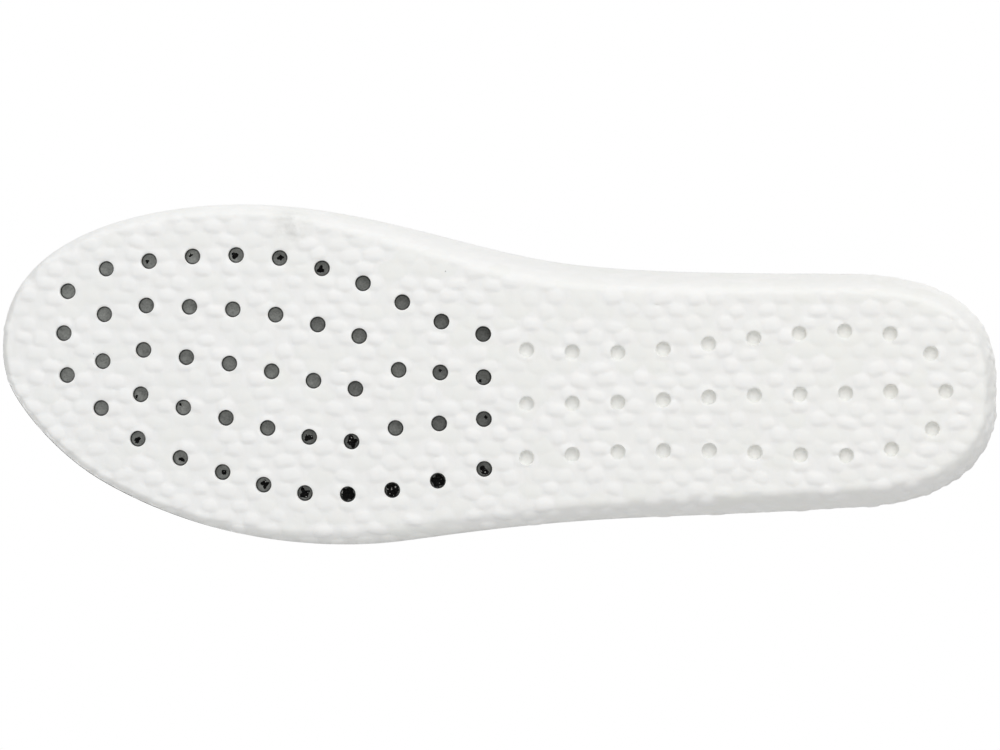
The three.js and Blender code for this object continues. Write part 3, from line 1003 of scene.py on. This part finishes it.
shader.inputs["Subsurface Radius"].default_value = (1.0, 0.95, 0.9)
shader.inputs["Subsurface Scale"].default_value = 1.4 * mm
foam.data.materials.append(foam_material)
print(foam_material.name, "has", len(tree.nodes), "nodes")

# %% [markdown]
# ## Film and knit
# The film is a milky grey over black cloth, and greyer where it is thicker, with a ring of painted shade
# where it meets a perforation's wall. The knit is black, with painted light on its loop crests and painted
# shade between them.
# Where the film tore away from it, pale specks on its back stand for bits of glue and painted glints of the
# fibres.

# %% Film finish
THIN_FILM = (0.02, 0.022, 0.022)
THICK_FILM = (0.5, 0.51, 0.495)
FILLET_SHADE_GREY = (0.008, 0.008, 0.008)
MOTTLE_SHARE, CLOUDING_SHARE = 0.35, 0.3
FILLET_SHADE_ENDS = {"From Min": 0.1, "From Max": 0.6}   # mm from the wall of the perforation
film_material, tree, shader = new_material("hot_melt_film_satin")
place = node(tree, "ShaderNodeTexCoord").outputs["Object"]
tone = node(tree, "ShaderNodeAttribute", attribute_name="film_tone").outputs["Fac"]
wall_gap = node(tree, "ShaderNodeAttribute", attribute_name="from_wall").outputs["Fac"]
mottle = use_group(tree, grain, {"Scale": 1900.0})
cloud = use_group(tree, grain, {"Scale": 420.0})
fine = use_group(tree, grain, {"Scale": 5200.0})
for part in (mottle, cloud, fine):
    join(tree, (place, part.inputs["Vector"]))
film_grey = colour_mix(tree, tone, THIN_FILM, THICK_FILM)
clouding = maths(tree, "MULTIPLY", cloud.outputs[0], CLOUDING_SHARE)
blotch = maths(tree, "MULTIPLY_ADD", mottle.outputs[0], MOTTLE_SHARE, clouding)
mottled = colour_mix(tree, blotch, film_grey, THIN_FILM)
# painted shade: near black in a ring where the film meets the perforation's wall
out_of_fillet_shade = node(tree, "ShaderNodeMapRange", FILLET_SHADE_ENDS, interpolation_type="SMOOTHSTEP")
join(tree, (wall_gap, out_of_fillet_shade.inputs["Value"]))
fillet_shaded = colour_mix(tree, out_of_fillet_shade.outputs[0], FILLET_SHADE_GREY, mottled)
join(tree, (fillet_shaded, shader.inputs["Base Color"]),
     (bump(tree, fine.outputs[0], 0.02 * mm, 0.7), shader.inputs["Normal"]))
shader.inputs["Roughness"].default_value = 0.5
shader.inputs["Specular IOR Level"].default_value = 0.35
film.data.materials.append(film_material)
print(film_material.name, "has", len(tree.nodes), "nodes")

# %% Knit finish
BLACK_YARN_GAP_SHADE = (0.007, 0.007, 0.008)
YARN_CREST_LIGHT_AND_WEAR = (0.078, 0.078, 0.083)
HEATHER = (0.13, 0.131, 0.137)
BACK_BLACK = (0.003, 0.003, 0.003)
GLINT_AND_GLUE_BITS = (0.75, 0.75, 0.73)
FUZZY_LIGHT, EVEN_LIGHT, WORN_SHARE = 0.6, 0.4, 0.18
DRAWN_OUT = (0.16, 1.0, 1.0)   # heather runs along the yarn
cover_material, tree, shader = new_material("black_knit")
surface = node(tree, "ShaderNodeUVMap", uv_map="surface_metres").outputs["UV"]
loops = use_group(tree, knit)
glint_and_glue_specks = use_group(tree, specks, {"Scale": 1900.0, "Size": 0.34, "Share": 0.2})
glue_side = node(tree, "ShaderNodeAttribute", attribute_name="glue_side").outputs["Fac"]
fuzz = use_group(tree, grain, {"Scale": 4200.0})
worn = use_group(tree, grain, {"Scale": 24.0})
for part in (loops, glint_and_glue_specks, fuzz, worn):
    join(tree, (surface, part.inputs["Vector"]))
fuzzy = maths(tree, "MULTIPLY_ADD", fuzz.outputs[0], FUZZY_LIGHT, EVEN_LIGHT)
# painted light and shade: loop crests lighter, gaps between the loops near black
lit_yarn = maths(tree, "MULTIPLY", loops.outputs["Height"], fuzzy)
yarn = colour_mix(tree, lit_yarn, BLACK_YARN_GAP_SHADE, YARN_CREST_LIGHT_AND_WEAR)
greyed = colour_mix(tree, maths(tree, "MULTIPLY", worn.outputs[0], WORN_SHARE), yarn, YARN_CREST_LIGHT_AND_WEAR)
drawn_out = node(tree, "ShaderNodeVectorMath", {1: DRAWN_OUT}, operation="MULTIPLY")
heather = use_group(tree, grain, {"Scale": 900.0})
join(tree, (surface, drawn_out.inputs[0]), (drawn_out.outputs[0], heather.inputs["Vector"]))
heathered = colour_mix(tree, maths(tree, "MULTIPLY", heather.outputs[0], lit_yarn), greyed, HEATHER)
backed = colour_mix(tree, glue_side, heathered, BACK_BLACK)
# on the glued back only: pale specks for bits of glue and painted glints of the fibres
glints_and_glue = colour_mix(tree, maths(tree, "MULTIPLY", glint_and_glue_specks.outputs[0], glue_side), backed, GLINT_AND_GLUE_BITS)
looped = bump(tree, loops.outputs["Height"], 0.16 * mm, 0.9)
join(tree, (glints_and_glue, shader.inputs["Base Color"]),
     (bump(tree, fuzz.outputs[0], 0.05 * mm, 0.6, looped), shader.inputs["Normal"]))
shader.inputs["Roughness"].default_value = 0.82
shader.inputs["Specular IOR Level"].default_value = 0.25
shader.inputs["Sheen Weight"].default_value = 0.06
shader.inputs["Sheen Roughness"].default_value = 0.5
cover.data.materials.append(cover_material)
print(cover_material.name, "has", len(tree.nodes), "nodes")

# %% [markdown]
# ## Stage, light and camera
# The main camera looks straight up at the underside, so the floor shows on its upper face only
# and lets light through: from above it is a pale table, and from below it isn't there.

# %% Pale one-sided floor
FLOOR_DEPTH = -0.62 * mm   # just below the proudest bead
FLOOR_SIZE = 40            # metres
FLOOR_WHITE = (0.82, 0.82, 0.81, 1)
bpy.ops.mesh.primitive_plane_add(size=FLOOR_SIZE, location=(0, 0, FLOOR_DEPTH))
floor = bpy.context.object
floor.name = "pale_floor"
floor.visible_diffuse = False
floor.visible_glossy = False
floor.visible_transmission = False
floor.visible_shadow = False
floor_material, tree, shader = new_material("pale_floor_one_sided")
shader.inputs["Base Color"].default_value = FLOOR_WHITE
shader.inputs["Roughness"].default_value = 0.8
see_through = node(tree, "ShaderNodeBsdfTransparent")
one_sided = node(tree, "ShaderNodeMixShader")
facing = node(tree, "ShaderNodeNewGeometry")
join(tree, (facing.outputs["Backfacing"], one_sided.inputs[0]), (shader.outputs[0], one_sided.inputs[1]),
     (see_through.outputs[0], one_sided.inputs[2]),
     (one_sided.outputs[0], tree.nodes["Material Output"].inputs["Surface"]))
floor.data.materials.append(floor_material)
print("floor:", FLOOR_SIZE, "m wide at", round(FLOOR_DEPTH / mm, 2), "mm")

# %% White surroundings
AMBIENT = 0.63             # light that the surroundings give
PURE_WHITE = (1, 1, 1, 1)
world = bpy.data.worlds.new("white_studio")
bpy.context.scene.world = world
world.use_nodes = True
tree = world.node_tree
seen = tree.nodes["Background"]
seen.inputs["Color"].default_value = PURE_WHITE
seen.inputs["Strength"].default_value = 1.0
ambient = node(tree, "ShaderNodeBackground", {"Color": PURE_WHITE, "Strength": AMBIENT})
either = node(tree, "ShaderNodeMixShader")
path = node(tree, "ShaderNodeLightPath")
join(tree, (path.outputs["Is Camera Ray"], either.inputs[0]), (ambient.outputs[0], either.inputs[1]),
     (seen.outputs[0], either.inputs[2]), (either.outputs[0], tree.nodes["World Output"].inputs["Surface"]))
print("surroundings give", AMBIENT, "of a white sky")


# %% Soft lamps
def soft_lamp(name, location, size, watts):
    bpy.ops.object.light_add(type="AREA", location=location)
    lamp = bpy.context.object
    lamp.name = name
    lamp.data.size = size
    lamp.data.energy = watts
    lamp.rotation_euler = Vector(location).to_track_quat("Z", "Y").to_euler()
    print(name, "gives", watts, "W from", round(Vector(location).length, 2), "m")


soft_lamp("lamp_below_inner_side", location=(-0.2, 0.72, -0.87), size=1.0, watts=6.0)
soft_lamp("lamp_above_toe", location=(0.46, -0.34, 1.0), size=0.4, watts=4.6)
soft_lamp("lamp_above_heel", location=(-0.4, 0.22, 1.0), size=0.4, watts=1.6)

# %% Camera under the insole, toe to the left
CAMERA_LENS = 300.0
VIEW_WIDTH = 275.8 * mm    # what the view takes in at the sole
VIEW_MIDDLE = (0.14 * mm, -0.14 * mm)
FARTHEST_SEEN = 20         # metres
bpy.ops.object.camera_add(rotation=(0, math.pi, 0))
camera = bpy.context.object
camera.data.lens = CAMERA_LENS
reach = VIEW_WIDTH * CAMERA_LENS / camera.data.sensor_width
camera.location = (*VIEW_MIDDLE, -reach)
camera.data.clip_end = FARTHEST_SEEN
bpy.context.scene.camera = camera
bpy.context.scene.view_settings.view_transform = "Standard"
print("camera", round(reach, 2), "m below the sole")
